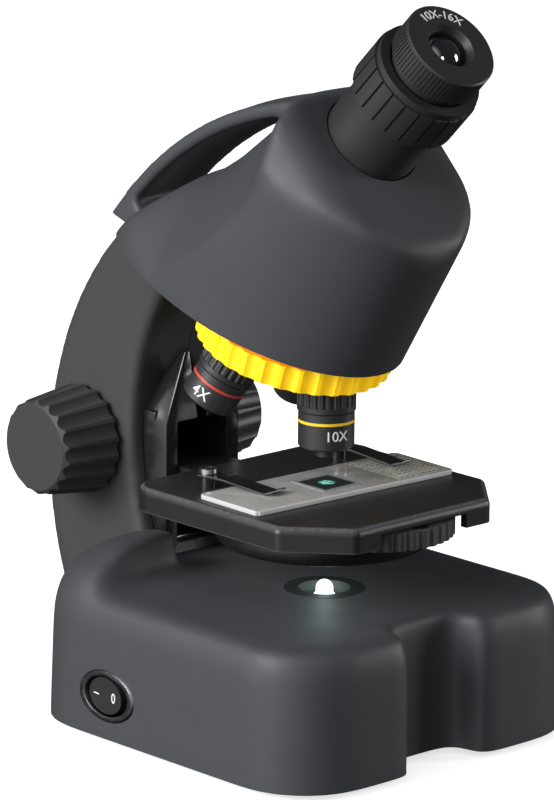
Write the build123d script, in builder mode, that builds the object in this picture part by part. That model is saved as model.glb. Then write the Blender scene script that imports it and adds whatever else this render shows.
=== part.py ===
"""Small student microscope with a turret of three objectives, a battery lamp and a zoom eyepiece.

Frame: the origin is on the table under the optical axis, +Z is up, and the front of the
microscope, the side the user looks in from, faces -Y. All sizes are millimetres.
"""
from build123d import *
from math import acos, cos, degrees, pi, radians, sin, sqrt, tan
import os

os.makedirs("parts", exist_ok=True)

# ---- driving dimensions -------------------------------------------------------------
wall = 2.6
gap = 0.3

base_half_width = 57.6
base_front = -51.2
base_rear = 66.0
base_bottom = 2.0
base_draft = 1.9
plateau_height = 43.0
shoulder_height = 55.5
shoulder_front = 38.0
well_half_width = 20.0
front_corner = 22.0
rear_corner = 11.0
notch_half_width = 14.0
notch_depth = 10.0
plate_thickness = 2.4

arm_half_width = 19.3
arm_outer_radius = 102.3
arm_outer_y = 0.6
arm_outer_z = 66.0
arm_inner_radius = 83.5
arm_inner_y = -20.0
arm_inner_z = 80.0
arm_foot = 5.0
arm_top_front = 140.0
arm_top_rear = 146.5
screw_places = ((80, 108), (84, 44), (74, 18))

focus_y = 83.5
focus_z = 75.5
shaft_radius = 3.0
bore_clearance = 0.05
knob_inner_x = 21.0
knob_outer_x = 39.8
knob_radius = 16.6
knob_end_radius = 14.2
knob_flutes = 18

gear_module = 1.0
gear_teeth = 12
pressure_angle = radians(25)
addendum = 0.8
dedendum = 1.1
backlash = 0.2
gear_half_width = 4.5

stage_top = 73.7
stage_half_width = 41.4
stage_front = -41.0
stage_rear = 40.4
stage_chamfer_x = 15.0
stage_chamfer_y = 17.0
stage_slab = 3.0
stage_skirt = 7.2
stage_hole = 9.5
dish_radius = 32.5
dish_top = 64.0
dish_bottom = 57.6
dish_wall = 1.8

guide_half_width = 14.5
guide_cheek = 4.7
guide_front = 53.2
guide_rear = 79.0
guide_top = 84.0
guide_foot = 46.0
guide_peak = 105.0
guide_peak_x = 5.5
roof_width = 12.7

disc_radius = 24.0
disc_y = -19.5
disc_top = 69.6
disc_height = 5.2

slide_length = 76.0
slide_width = 26.0
slide_thickness = 1.5
slide_turn = -2.0
post_x = 26.0
post_y = 22.0
post_height = 4.6
post_radius = 2.3
clip_screw_radius = 2.6
clip_half_width = 3.2

turret_tilt = 18.0
turret_y = 14.2
turret_z = 112.5
ring_radius = 29.2
ring_height = 7.5
ring_scallops = 32
turret_radius = 25.0

eye_tilt = 45.0
eye_face_y = -48.6
eye_face_z = 209.7
tube_radius = 14.2
tube_length = 58.0
collar_radius = 16.6
eye_ring_radius = 14.0
eye_ring_height = 8.6

head_half_width = 32.7
head_front = 46.5
head_rear = 57.0
head_y = 25.0
head_rim_z = 125.6
head_lean = (0, -0.532, 0.847)

low = (Align.CENTER, Align.CENTER, Align.MIN)


def save(builder, name):
    """Label the finished piece and write its STEP file."""
    builder.part.label = name
    export_step(builder.part, f"parts/{name}.step")


def turned(radius, start, end, mode=Mode.ADD):
    """One cylindrical step of a turned part, along the builder's own Z."""
    with Locations((0, 0, start)):
        Cylinder(radius, end - start, align=low, mode=mode)


def block(x, y, z, mode=Mode.ADD):
    """A box between two values on each axis."""
    with Locations(((x[0] + x[1]) / 2, (y[0] + y[1]) / 2, (z[0] + z[1]) / 2)):
        Box(x[1] - x[0], y[1] - y[0], z[1] - z[0], mode=mode)


# ---- base ---------------------------------------------------------------------------
def base_outline(level, inset):
    """Plan of the base with its notched front, at a height, inset from the outside."""
    with BuildSketch(Plane.XY.offset(level)) as outline:
        with Locations((0, (base_front + base_rear) / 2)):
            Rectangle(2 * base_half_width, base_rear - base_front)
        fillet(outline.vertices().group_by(Axis.Y)[0], front_corner)
        fillet(outline.vertices().group_by(Axis.Y)[-1], rear_corner)
        with Locations((0, base_front)):
            Rectangle(2 * notch_half_width, 2 * notch_depth, mode=Mode.SUBTRACT)
        fillet(outline.vertices().filter_by(lambda v: abs(abs(v.X) - notch_half_width) < 0.1), 4.5)
        if inset:
            offset(amount=-inset, kind=Kind.INTERSECTION)
    return outline.sketch


switch_y = 29.5
switch_z = 15.0
switch_out = Vector(-cos(radians(base_draft)), 0, sin(radians(base_draft)))
switch_x = -base_half_width + (switch_z - base_bottom) * tan(radians(base_draft)) - 0.02
switch_plane = Plane((switch_x, switch_y, switch_z), x_dir=(0, -1, 0), z_dir=switch_out)
switch_pin = Plane(switch_plane.offset(-5.5).origin, x_dir=(0, -1, 0), z_dir=switch_plane.y_dir)
rocker_tilt = 7.0
lamp_ring_radius = 11.7
with BuildPart() as base_shell:
    add(base_outline(base_bottom, 0))
    extrude(amount=plateau_height - base_bottom, taper=base_draft)
    fillet(base_shell.edges().group_by(Axis.Z)[-1], 4)
    with BuildSketch(Plane.XY.offset(base_bottom)):
        add(base_outline(base_bottom, 0))
        with Locations((0, shoulder_front - 60)):
            Rectangle(160, 120, mode=Mode.SUBTRACT)
    extrude(amount=shoulder_height - base_bottom, taper=base_draft)
    block((-well_half_width, well_half_width), (30, 70), (plateau_height, 70), Mode.SUBTRACT)
    fillet(base_shell.edges().group_by(Axis.Z)[-1], 6)
    with BuildSketch(Plane.XY.offset(base_bottom)):
        add(base_outline(base_bottom, wall))
    extrude(amount=plateau_height - base_bottom - wall, taper=base_draft, mode=Mode.SUBTRACT)
    for side in (-1, 1):
        block(
            sorted((side * (well_half_width + wall), side * (base_half_width - 8))),
            (shoulder_front + 8, base_rear - 8),
            (plateau_height - 4, shoulder_height - wall),
            Mode.SUBTRACT,
        )
    with Locations((0, 0, plateau_height)):
        CounterBoreHole(radius=9.0, counter_bore_radius=lamp_ring_radius + 0.1, counter_bore_depth=1.2)
    with BuildSketch(switch_plane.offset(2)):
        Ellipse(10.6, 6.8)
    extrude(amount=-10, mode=Mode.SUBTRACT)
save(base_shell, "base_shell")

door_x = (-6.0, 50.0)
door_y = (-28.0, 24.0)
with BuildPart() as base_plate:
    add(base_outline(base_bottom, wall + 0.2))
    extrude(amount=plate_thickness)
    block(door_x, door_y, (0, 6), Mode.SUBTRACT)
save(base_plate, "base_plate")

with BuildPart() as battery_door:
    block(
        (door_x[0] + gap, door_x[1] - gap),
        (door_y[0] + gap, door_y[1] - gap),
        (base_bottom, base_bottom + plate_thickness),
    )
    with Locations((door_x[1] - 5, (door_y[0] + door_y[1]) / 2, 0)):
        Hole(1.6, 10)
    with GridLocations(30, 4, 1, 5):
        with Locations(((door_x[0] + door_x[1]) / 2, -2, base_bottom)):
            Box(30, 1.2, 0.6, mode=Mode.SUBTRACT)
save(battery_door, "battery_door")

cell_radius = 7.1
cell_length = 49.5
cell_rows = (-17.5, -2.0, 13.5)
cell_level = 13.0
cell_mid_x = (door_x[0] + door_x[1]) / 2
with BuildPart() as battery_tray:
    block((-9, 53), (-27, 23), (5, 21.5))
    for row in cell_rows:
        block((-5, 49), (row - 7.5, row + 7.5), (4, 20.4), Mode.SUBTRACT)
save(battery_tray, "battery_tray")

with BuildPart() as battery_cells:
    for row in cell_rows:
        with Locations(Location((cell_mid_x, row, cell_level), (0, 90, 0))):
            Cylinder(cell_radius, cell_length - 1.2)
            with Locations((0, 0, cell_length / 2)):
                Cylinder(2.7, 1.2)
save(battery_cells, "battery_cells")

with BuildPart() as battery_contacts:
    for row in cell_rows:
        block((-5, -4.5), (row - 5, row + 5), (8, 18))
        block((48.5, 49), (row - 5, row + 5), (8, 18))
save(battery_contacts, "battery_contacts")

with BuildPart() as feet:
    with Locations((-43, -36, 0), (43, -36, 0), (-43, 54, 0), (43, 54, 0)):
        Cylinder(6, base_bottom, align=low)
save(feet, "feet")

with BuildPart() as base_screws:
    with Locations((-47, 8, 0.4), (-24, 58, 0.4), (24, 58, 0.4), (-26, -38, 0.4)):
        Cylinder(2.8, base_bottom - 0.4, align=low)
    with Locations((door_x[1] - 5, (door_y[0] + door_y[1]) / 2, base_bottom - 0.9)):
        Cylinder(2.8, 0.9, align=low)
        Cylinder(1.5, 4.5, align=low)
save(base_screws, "base_screws")

with BuildPart() as lamp_ring:
    turned(lamp_ring_radius, plateau_height - 1.1, plateau_height + 0.3)
    turned(8.9, plateau_height - 5, plateau_height - 1.1)
    turned(7.6, plateau_height - 6, plateau_height + 1, Mode.SUBTRACT)
save(lamp_ring, "lamp_ring")

with BuildPart() as lamp_lens:
    with Locations((0, 0, plateau_height - 5.2)):
        Sphere(7.4, arc_size1=0)
    with Locations((0, 0, plateau_height - 5.2)):
        Box(20, 20, 20, align=low, mode=Mode.INTERSECT)
    block((-10, 10), (-10, 10), (plateau_height - 0.4, plateau_height + 9), Mode.SUBTRACT)
save(lamp_lens, "lamp_lens")

with BuildPart() as lamp_board:
    block((-12, 12), (-9, 9), (plateau_height - 10, plateau_height - 8.4))
    turned(2.5, plateau_height - 8.4, plateau_height - 5.5)
save(lamp_board, "lamp_board")

with BuildPart() as switch_bezel:
    with BuildSketch(switch_plane):
        Ellipse(13.0, 8.7)
    with BuildSketch(switch_plane.offset(1.6)):
        Ellipse(11.4, 7.2)
    loft()
    with BuildSketch(switch_plane.offset(-13)):
        Ellipse(10.3, 6.5)
    extrude(amount=13)
    with BuildSketch(switch_plane.offset(2)):
        Ellipse(9.3, 5.9)
    extrude(amount=-13, mode=Mode.SUBTRACT)
    with Locations(switch_pin.location):
        Cylinder(1.05, 16, mode=Mode.SUBTRACT)
save(switch_bezel, "switch_bezel")

rocker_out = switch_out.rotate(Axis((0, 0, 0), switch_plane.y_dir), -rocker_tilt)
rocker_plane = Plane(switch_pin.origin, x_dir=switch_plane.y_dir.cross(rocker_out), z_dir=rocker_out)
with BuildPart() as switch_rocker:
    with BuildSketch(rocker_plane.offset(1.1)):
        Ellipse(7.2, 5.3)
    with BuildSketch(rocker_plane.offset(6.6)):
        Ellipse(8.2, 5.3)
    loft()
    with Locations(rocker_plane.location):
        Box(4, 9, 4)
    with Locations(switch_pin.location):
        Cylinder(1.0, 14.4)
save(switch_rocker, "switch_rocker")

# ---- arm ----------------------------------------------------------------------------
def arc_y(centre_y, centre_z, radius, level):
    """Y of a circle's rear side at a height."""
    return centre_y + sqrt(radius**2 - (level - centre_z) ** 2)


def arm_solid(inset):
    """The C-shaped arm, every side inset by one distance."""
    outer = arm_outer_radius - inset
    inner = arm_inner_radius + inset
    foot = arm_foot + inset
    seat = plateau_height + gap + inset
    front_top = arm_top_front - inset
    rear_top = arm_top_rear - inset
    rear_wall = base_rear + gap + inset
    front_mid = arm_inner_z
    with BuildPart() as arm:
        with BuildSketch(Plane.YZ):
            with BuildLine():
                top = (arc_y(arm_outer_y, arm_outer_z, outer, rear_top), rear_top)
                mid = (arc_y(arm_outer_y, arm_outer_z, outer, arm_outer_z), arm_outer_z)
                heel = (arc_y(arm_outer_y, arm_outer_z, outer, foot), foot)
                ThreePointArc(top, mid, heel)
                toe = (arc_y(arm_inner_y, arm_inner_z, inner, seat), seat)
                brow = (arc_y(arm_inner_y, arm_inner_z, inner, front_top), front_top)
                Polyline(heel, (rear_wall, foot), (rear_wall, seat), toe)
                ThreePointArc(toe, (arc_y(arm_inner_y, arm_inner_z, inner, front_mid), front_mid), brow)
                Line(brow, top)
            make_face()
        extrude(amount=arm_half_width - inset, both=True)
    return arm.part


def arm_half(side):
    """One moulded half of the arm, with its openings for the guide and the shaft."""
    keep = Keep.TOP if side > 0 else Keep.BOTTOM
    with BuildPart() as half:
        add(arm_solid(0))
        outer_arc = half.edges().filter_by(lambda e: abs(abs(e.center().X) - arm_half_width) < 0.01)
        fillet(outer_arc.filter_by(lambda e: e.center().Y > 85), 7)
        add(arm_solid(wall), mode=Mode.SUBTRACT)
        opening = guide_half_width + 0.1
        block((-opening, opening), (40, 75), (guide_foot - 0.05, 112), Mode.SUBTRACT)
        with Locations(Location((0, focus_y, focus_z), (0, 90, 0))):
            Cylinder(4.6, 60, mode=Mode.SUBTRACT)
        for y, z in screw_places:
            with Locations(Location((arm_half_width, y, z), (0, 90, 0))):
                Cylinder(2.5, 2 * 2.42, mode=Mode.SUBTRACT)
        split(bisect_by=Plane.YZ, keep=keep)
    return half


arm_left = arm_half(-1)
save(arm_left, "arm_left")
arm_right = arm_half(1)
save(arm_right, "arm_right")

with BuildPart() as arm_screws:
    for y, z in screw_places:
        with Locations(Location((arm_half_width - 1.6, y, z), (0, 90, 0))):
            Cylinder(2.4, 1.6)
    for side in (-1, 1):
        with Locations(Location((side * 10.5, 52, 145.5), (-12, 0, 0))):
            Cylinder(2.4, 1.6)
save(arm_screws, "arm_screws")

with BuildPart() as focus_bushes:
    for side in (-1, 1):
        plane = Plane((0, focus_y, focus_z), x_dir=(0, 1, 0), z_dir=(side, 0, 0))
        steps = ((4.55, arm_half_width - wall, arm_half_width), (6.4, arm_half_width, 20.3))
        for radius, start, end in steps:
            with BuildSketch(plane.offset(start)):
                Circle(radius)
                Circle(shaft_radius + bore_clearance, mode=Mode.SUBTRACT)
            extrude(amount=end - start)
save(focus_bushes, "focus_bushes")

with BuildPart() as stage_guide:
    for side in (-1, 1):
        inner_x = guide_half_width - guide_cheek
        cheek = sorted((side * inner_x, side * guide_half_width))
        block(cheek, (guide_front, guide_rear), (guide_foot, guide_top))
        with BuildSketch(Plane.XY.offset(guide_top)):
            with Locations((side * (guide_half_width - roof_width / 2), guide_front + 7.5)):
                Rectangle(roof_width, 15)
        with BuildSketch(Plane.XY.offset(guide_peak)):
            with Locations((side * guide_peak_x, guide_front + 1.5)):
                Rectangle(1.6, 1.6)
        loft()
    block((-guide_half_width, guide_half_width), (guide_front + 5, 69.8), (guide_top, guide_top + 3))
    shelf = (-guide_half_width, guide_half_width)
    block(shelf, (guide_front + 5, guide_rear), (guide_foot, guide_foot + 1.6))
save(stage_guide, "stage_guide")

# ---- focus drive --------------------------------------------------------------------
with BuildPart(Plane((0, focus_y, focus_z), x_dir=(0, 1, 0), z_dir=(1, 0, 0))) as focus_shaft:
    turned(shaft_radius, -knob_outer_x + 5, knob_outer_x - 5)
save(focus_shaft, "focus_shaft")

pitch_radius = gear_module * gear_teeth / 2
root_radius = pitch_radius - dedendum
tip_radius = pitch_radius + addendum
base_circle = pitch_radius * cos(pressure_angle)
tooth_thickness = pi * gear_module / 2 - backlash


def involute(angle):
    """The involute function of an angle."""
    return tan(angle) - angle


def pinion_outline():
    """Points round the pinion, with involute flanks and short radial roots."""
    flank = [root_radius] + [base_circle + (tip_radius - base_circle) * k / 4 for k in range(5)]
    points = []
    for tooth in range(gear_teeth):
        centre = pi + 2 * pi * tooth / gear_teeth
        edge = []
        for radius in flank:
            lift = involute(acos(min(1.0, base_circle / radius)))
            half = tooth_thickness / 2 / pitch_radius + involute(pressure_angle) - lift
            edge.append((radius, half))
        for radius, half in edge:
            points.append((radius * cos(centre - half), radius * sin(centre - half)))
        for radius, half in reversed(edge):
            points.append((radius * cos(centre + half), radius * sin(centre + half)))
    return points


with BuildPart() as focus_pinion:
    with BuildSketch(Plane((-gear_half_width, focus_y, focus_z), x_dir=(0, 1, 0), z_dir=(1, 0, 0))):
        Polygon(*pinion_outline(), align=None)
        Circle(shaft_radius + 0.02, mode=Mode.SUBTRACT)
    extrude(amount=2 * gear_half_width)
save(focus_pinion, "focus_pinion")


def knob(side):
    """A tapered, fluted focus knob on one end of the shaft."""
    length = knob_outer_x - knob_inner_x
    taper = degrees(acos(length / sqrt(length**2 + (knob_radius - knob_end_radius) ** 2)))
    plane = Plane((side * knob_inner_x, focus_y, focus_z), x_dir=(0, 1, 0), z_dir=(side, 0, 0))
    with BuildPart(plane) as body:
        Cone(knob_radius, knob_end_radius, length, align=low)
        chamfer(body.edges().sort_by(Axis.X)[-1 if side > 0 else 0], 1.4)
        mean = (knob_radius + knob_end_radius) / 2
        with PolarLocations(mean + 2.6, knob_flutes):
            with Locations(Location((0, 0, length / 2), (0, -taper, 0))):
                Cylinder(3.5, 1.5 * length, mode=Mode.SUBTRACT)
        turned(shaft_radius + 0.02, -1, length - 5, Mode.SUBTRACT)
    return body


knob_left = knob(-1)
save(knob_left, "knob_left")
knob_right = knob(1)
save(knob_right, "knob_right")

# ---- stage --------------------------------------------------------------------------
def stage_outline(level, inset):
    """Plan of the stage, with cut front corners and rounded rear ones."""
    half = stage_half_width - inset
    front = stage_front + inset
    rear = stage_rear - inset
    with BuildSketch(Plane.XY.offset(level)) as outline:
        with BuildLine():
            Polyline(
                (-half, rear),
                (-half, front + stage_chamfer_y),
                (-half + stage_chamfer_x, front),
                (half - stage_chamfer_x, front),
                (half, front + stage_chamfer_y),
                (half, rear),
                close=True,
            )
        make_face()
        fillet(outline.vertices().group_by(Axis.Y)[-1], 9 - inset)
        fillet(outline.vertices().filter_by(lambda v: v.Y < 0), 3)
    return outline.sketch


tongue_half_width = 9.5
with BuildPart() as stage_plate:
    add(stage_outline(stage_top, 0))
    extrude(amount=-stage_skirt)
    fillet(stage_plate.edges().group_by(Axis.Z)[-1], 2.2)
    add(stage_outline(stage_top - stage_slab, 2.4))
    extrude(amount=-stage_skirt, mode=Mode.SUBTRACT)
    turned(stage_hole, 50, 90, Mode.SUBTRACT)
    disc_level = stage_top - stage_slab
    block((-17, 17), (stage_front - 2, stage_front + 4), (50, disc_level), Mode.SUBTRACT)
    block((-tongue_half_width - 0.2, tongue_half_width + 0.2), (30, 45), (50, disc_level), Mode.SUBTRACT)
    with Locations((-post_x, post_y, stage_top), (post_x, post_y, stage_top)):
        Hole(1.5, 8)
save(stage_plate, "stage_plate")

rack_face = focus_y - pitch_radius - dedendum
with BuildPart() as stage_dish:
    turned(dish_radius, dish_bottom, dish_top)
    fillet(stage_dish.edges().group_by(Axis.Z)[0], 4)
    turned(dish_radius - dish_wall, dish_bottom + dish_wall, dish_top, Mode.SUBTRACT)
    turned(stage_hole + 1.5, dish_bottom, dish_top, Mode.SUBTRACT)

tongue = (-tongue_half_width, tongue_half_width)
with BuildPart() as stage_carrier:
    block(tongue, (28, rack_face - 3), (60, stage_top - stage_slab))
    block(tongue, (12, 42), (50, 67), Mode.SUBTRACT)
    block((-gear_half_width, gear_half_width), (rack_face - 6, rack_face - 3), (60, 95))
    block(tongue, (28, 30.8), (dish_bottom + 2, stage_top - stage_slab))
    add(stage_dish.part)
save(stage_carrier, "stage_carrier")

rack_pitch = pi * gear_module
with BuildPart() as focus_rack:
    block((-gear_half_width, gear_half_width), (rack_face - 3, rack_face), (62, 95))
    with BuildSketch(Plane.YZ.offset(-gear_half_width)):
        for step in range(-4, 6):
            centre = focus_z + (step + 0.5) * rack_pitch
            foot_half = tooth_thickness / 2 + dedendum * tan(pressure_angle)
            tip_half = tooth_thickness / 2 - addendum * tan(pressure_angle)
            with BuildLine():
                Polyline(
                    (rack_face - 0.5, centre - foot_half),
                    (rack_face, centre - foot_half),
                    (rack_face + dedendum + addendum, centre - tip_half),
                    (rack_face + dedendum + addendum, centre + tip_half),
                    (rack_face, centre + foot_half),
                    (rack_face - 0.5, centre + foot_half),
                    close=True,
                )
            make_face()
    extrude(amount=2 * gear_half_width)
save(focus_rack, "focus_rack")

with BuildPart() as stage_screws:
    with Locations((-5.5, 34, 67), (5.5, 34, 67)):
        Cylinder(2.4, 1.6, align=(Align.CENTER, Align.CENTER, Align.MAX))
save(stage_screws, "stage_screws")

with BuildPart() as clip_posts:
    for side in (-1, 1):
        with Locations((side * post_x, post_y, stage_top)):
            Cylinder(post_radius, post_height - 1.2, align=low)
            with Locations((0, 0, post_height - 1.2)):
                Cylinder(1.6, 0.7, align=low)
            with Locations((0, 0, -6)):
                Cylinder(1.45, 6, align=low)
save(clip_posts, "clip_posts")

clip_level = stage_top + post_height - 0.9
with BuildPart() as clip_screws:
    for side in (-1, 1):
        with Locations((side * post_x, post_y, clip_level + 0.4)):
            Cylinder(clip_screw_radius, 1.5, align=low)
            with Locations((0, 0, 1.5)):
                Box(3.6, 0.8, 1.4, mode=Mode.SUBTRACT)
save(clip_screws, "clip_screws")


def clip(x, tip_x):
    """A sprung steel strip that turns on its post and presses on the slide."""
    reach = post_y + 3.2
    turn = degrees(acos(reach / sqrt(reach**2 + (tip_x - x) ** 2)))
    turn = turn if tip_x > x else -turn
    slide_top = stage_top + slide_thickness
    plane = Plane(Location((x, post_y, clip_level), (0, 0, turn - 90)))
    with BuildPart() as strip:
        with BuildSketch(Plane(plane.origin, x_dir=plane.x_dir, z_dir=-plane.y_dir)):
            with BuildLine():
                top = 0.0
                rest = slide_top - clip_level + 0.36
                line = Polyline((-1.5, top), (7, top), (reach - 3, rest), (reach, rest + 1.1))
                offset(line, 0.25, side=Side.BOTH)
            make_face()
        extrude(amount=clip_half_width, both=True)
        with Locations((x, post_y, clip_level)):
            Cylinder(clip_half_width, 0.5)
            Cylinder(1.66, 4, mode=Mode.SUBTRACT)
    return strip


save(clip(-post_x, -21.0), "clip_left")
save(clip(post_x, 29.3), "clip_right")

slide_place = Location((0.2, -0.7, stage_top), (0, 0, slide_turn))
with BuildPart() as specimen_slide:
    with Locations(slide_place):
        Box(slide_length, slide_width, slide_thickness, align=low)
    chamfer(specimen_slide.edges().filter_by(Axis.Z), 1.2)
save(specimen_slide, "specimen_slide")

with BuildPart() as cover_glass:
    with Locations(Location((-1.4, -1.9, stage_top + slide_thickness), (0, 0, slide_turn))):
        Box(14.5, 14.5, 0.2, align=low)
save(cover_glass, "cover_glass")

hole_ring = 19.5
disc_holes = (1.0, 2.0, 3.0, 4.5, 6.0, 7.5)
with BuildPart() as aperture_disc:
    with Locations((0, disc_y, disc_top)):
        Cylinder(disc_radius, disc_height, align=(Align.CENTER, Align.CENTER, Align.MAX))
    with Locations((0, disc_y, disc_top - 2)):
        Cylinder(12, disc_height, align=(Align.CENTER, Align.CENTER, Align.MAX), mode=Mode.SUBTRACT)
    with Locations((0, disc_y, 0)):
        for index, radius in enumerate(disc_holes):
            with Locations(Rotation(0, 0, 60 * index) * Pos(0, hole_ring, disc_top)):
                Cylinder(radius / 2 + 0.4, 20, mode=Mode.SUBTRACT)
        with PolarLocations(disc_radius + 1.4, 40):
            with Locations((0, 0, disc_top - disc_height / 2)):
                Cylinder(1.9, disc_height + 1, mode=Mode.SUBTRACT)
        with Locations((0, 0, disc_top)):
            Cylinder(2.05, 20, mode=Mode.SUBTRACT)
save(aperture_disc, "aperture_disc")

with BuildPart() as disc_pivot:
    with Locations((0, disc_y, 0)):
        with Locations((0, 0, disc_top - 2.4 - 1.6)):
            Cylinder(4.0, 1.6, align=low)
        with Locations((0, 0, disc_top - 2.4)):
            Cylinder(2.0, stage_top - stage_slab - disc_top + 2.4, align=low)
save(disc_pivot, "disc_pivot")

# ---- turret and objectives ----------------------------------------------------------
turret_up = Vector(0, -sin(radians(turret_tilt)), cos(radians(turret_tilt)))
turret_plane = Plane((0, turret_y, turret_z), x_dir=(1, 0, 0), z_dir=turret_up)
cone_height = turret_y / sin(radians(turret_tilt))
cone_apex = Vector(0, 0, turret_z + cone_height * cos(radians(turret_tilt)))
objective_angles = {"10x": 0, "4x": -120, "40x": 120}


def objective_plane(angle):
    """Plane at the cone's apex with Z down an objective, turned about the turret's axis."""
    down = Vector(0, 0, -1).rotate(Axis((0, 0, 0), turret_up), angle)
    return Plane(cone_apex, x_dir=(1, 0, 0) if angle == 0 else turret_up.cross(down), z_dir=down)


with BuildPart(turret_plane) as turret_ring:
    turned(ring_radius, 0, ring_height)
    chamfer(turret_ring.edges().filter_by(GeomType.CIRCLE), 0.5)
    with PolarLocations(ring_radius + 2.1, ring_scallops):
        with Locations((0, 0, ring_height / 2)):
            Cylinder(3.2, ring_height + 1, mode=Mode.SUBTRACT)
    turned(27, ring_height, ring_height + 1)
    turned(turret_radius + 0.1, -1, 6, Mode.SUBTRACT)
    turned(22, 5, 12, Mode.SUBTRACT)
save(turret_ring, "turret_ring")

with BuildPart(turret_plane) as turret_plate:
    turned(turret_radius, 1, 6)
    turned(2.05, 0, 7, Mode.SUBTRACT)
    for angle in objective_angles.values():
        with BuildSketch(objective_plane(angle).offset(30)):
            Circle(4.2)
        extrude(amount=30, mode=Mode.SUBTRACT)
save(turret_plate, "turret_plate")

with BuildPart(turret_plane) as turret_screw:
    turned(4.5, -1.2, 0.7)
    turned(2.0, 0.7, 12.3)
    with Locations((0, 0, -1.2)):
        Box(6, 1, 1.4, mode=Mode.SUBTRACT)
save(turret_screw, "turret_screw")

with BuildPart(turret_plane) as turret_detent:
    with Locations((0, 16.5, 9.5)):
        Box(5, 18, 0.4)
    with Locations((0, 19.5, 7.8)):
        Sphere(1.5)
save(turret_detent, "turret_detent")

sleeve_radius = 8.6
collar_start = 46.0
collar_end = 59.2
barrel_radius = 8.2
barrel_end = {"10x": 70.4, "4x": 69.6, "40x": 72.5}
tip_end = {"10x": 73.2, "4x": 70.8, "40x": 75.4}
tip_radius_of = {"10x": 3.1, "4x": 4.2, "40x": 2.6}
band_radius = 8.3
groove_radius = 7.6
band_at = 62.4
band_height = 0.8
for name, angle in objective_angles.items():
    plane = objective_plane(angle)
    label = f"objective_{name}"
    with BuildPart(plane) as collar:
        turned(sleeve_radius, collar_start, collar_end)
        with PolarLocations(sleeve_radius + 0.5, 24):
            with Locations((0, 0, (collar_start + collar_end) / 2 - 1)):
                Cylinder(0.95, collar_end - collar_start - 1, mode=Mode.SUBTRACT)
        turned(4.2, collar_start - 1, collar_end + 1, Mode.SUBTRACT)
        split(bisect_by=turret_plane.offset(1), keep=Keep.BOTTOM)
    save(collar, f"{label}_collar")
    with BuildPart(plane) as barrel:
        turned(barrel_radius, collar_end, barrel_end[name])
        chamfer(barrel.edges().filter_by(GeomType.CIRCLE), 0.6)
        turned(tip_radius_of[name], barrel_end[name], tip_end[name])
        with BuildSketch(plane.offset(band_at - band_height / 2)):
            Circle(band_radius + 1)
            Circle(groove_radius, mode=Mode.SUBTRACT)
        extrude(amount=band_height, mode=Mode.SUBTRACT)
        turned(4.2, collar_end - 1, barrel_end[name] - 2, Mode.SUBTRACT)
        turned(1.9, barrel_end[name] - 3, tip_end[name] + 1, Mode.SUBTRACT)
    save(barrel, f"{label}_barrel")
    with BuildPart() as band:
        with BuildSketch(plane.offset(band_at - band_height / 2)):
            Circle(band_radius)
            Circle(groove_radius, mode=Mode.SUBTRACT)
        extrude(amount=band_height)
    save(band, f"{label}_band")

with BuildPart() as objective_lenses:
    for name, angle in objective_angles.items():
        with BuildSketch(objective_plane(angle).offset(tip_end[name] - 1.6)):
            Circle(1.88)
        extrude(amount=1.2)
save(objective_lenses, "objective_lenses")

# ---- head ---------------------------------------------------------------------------
tilt_scale = 1 / cos(radians(turret_tilt))
rim_plane = Plane((0, head_y, head_rim_z), x_dir=(1, 0, 0), z_dir=turret_up)


def egg_outline(plane, inset):
    """Egg-shaped outline of the head's rim on a plane parallel to the rim."""
    half = head_half_width - inset
    with BuildSketch(plane) as egg:
        with BuildLine():
            EllipticalCenterArc((0, 0), half, (head_front - inset) * tilt_scale, 180, arc_size=180)
            EllipticalCenterArc((0, 0), half, (head_rear - inset) * tilt_scale, 0, arc_size=180)
        make_face()
    return egg.sketch


def head_solid(inset, drop):
    """The leaning body of the head under its profile; drop lengthens it below the rim."""
    start = Plane(rim_plane.origin - Vector(head_lean) * drop, x_dir=(1, 0, 0), z_dir=turret_up)
    face = 196.1 - 1.414 * inset
    with BuildPart() as body:
        add(egg_outline(start, inset))
        extrude(amount=100, dir=head_lean)
        with BuildSketch(Plane.YZ):
            with BuildLine():
                Polyline(
                    (17, 181.5 - 1.3 * inset),
                    (10, 189 - 1.1 * inset),
                    (193 - inset - face, 193 - inset),
                    (100 - face, 100),
                    (100 - face, 60),
                    (110, 60),
                    (110, 128 - inset),
                    (82, 143 - inset),
                )
                ThreePointArc((82, 143 - inset), (56, 154.6 - 1.1 * inset), (40, 162 - 1.2 * inset))
                Line((40, 162 - 1.2 * inset), (17, 181.5 - 1.3 * inset))
            make_face()
        extrude(amount=45, both=True, mode=Mode.INTERSECT)
    return body.part


eye_out = Vector(0, -cos(radians(eye_tilt)), sin(radians(eye_tilt)))
eye_plane = Plane((0, eye_face_y, eye_face_z), x_dir=(1, 0, 0), z_dir=eye_out)
with BuildPart() as head_shell:
    add(head_solid(0, 0))
    add(head_solid(wall, 20), mode=Mode.SUBTRACT)
    with BuildSketch(eye_plane.offset(-tube_length)):
        Circle(tube_radius + 0.1)
    extrude(amount=40, mode=Mode.SUBTRACT)
save(head_shell, "head_shell")

with BuildPart() as carry_handle:
    with BuildSketch(Plane.YZ):
        with BuildLine():
            ThreePointArc((4, 189.8), (53, 170.6), (85, 141))
            Polyline((85, 141), (81, 143.6), (79, 144.5))
            ThreePointArc((79, 144.5), (50, 168.2), (4, 185.4))
            Line((4, 185.4), (4, 189.8))
        make_face()
    extrude(amount=12.5, both=True)
    fillet(carry_handle.edges().sort_by(SortBy.LENGTH)[-2:], 1.6)
    add(head_solid(0, 0), mode=Mode.SUBTRACT)
save(carry_handle, "carry_handle")

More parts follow.
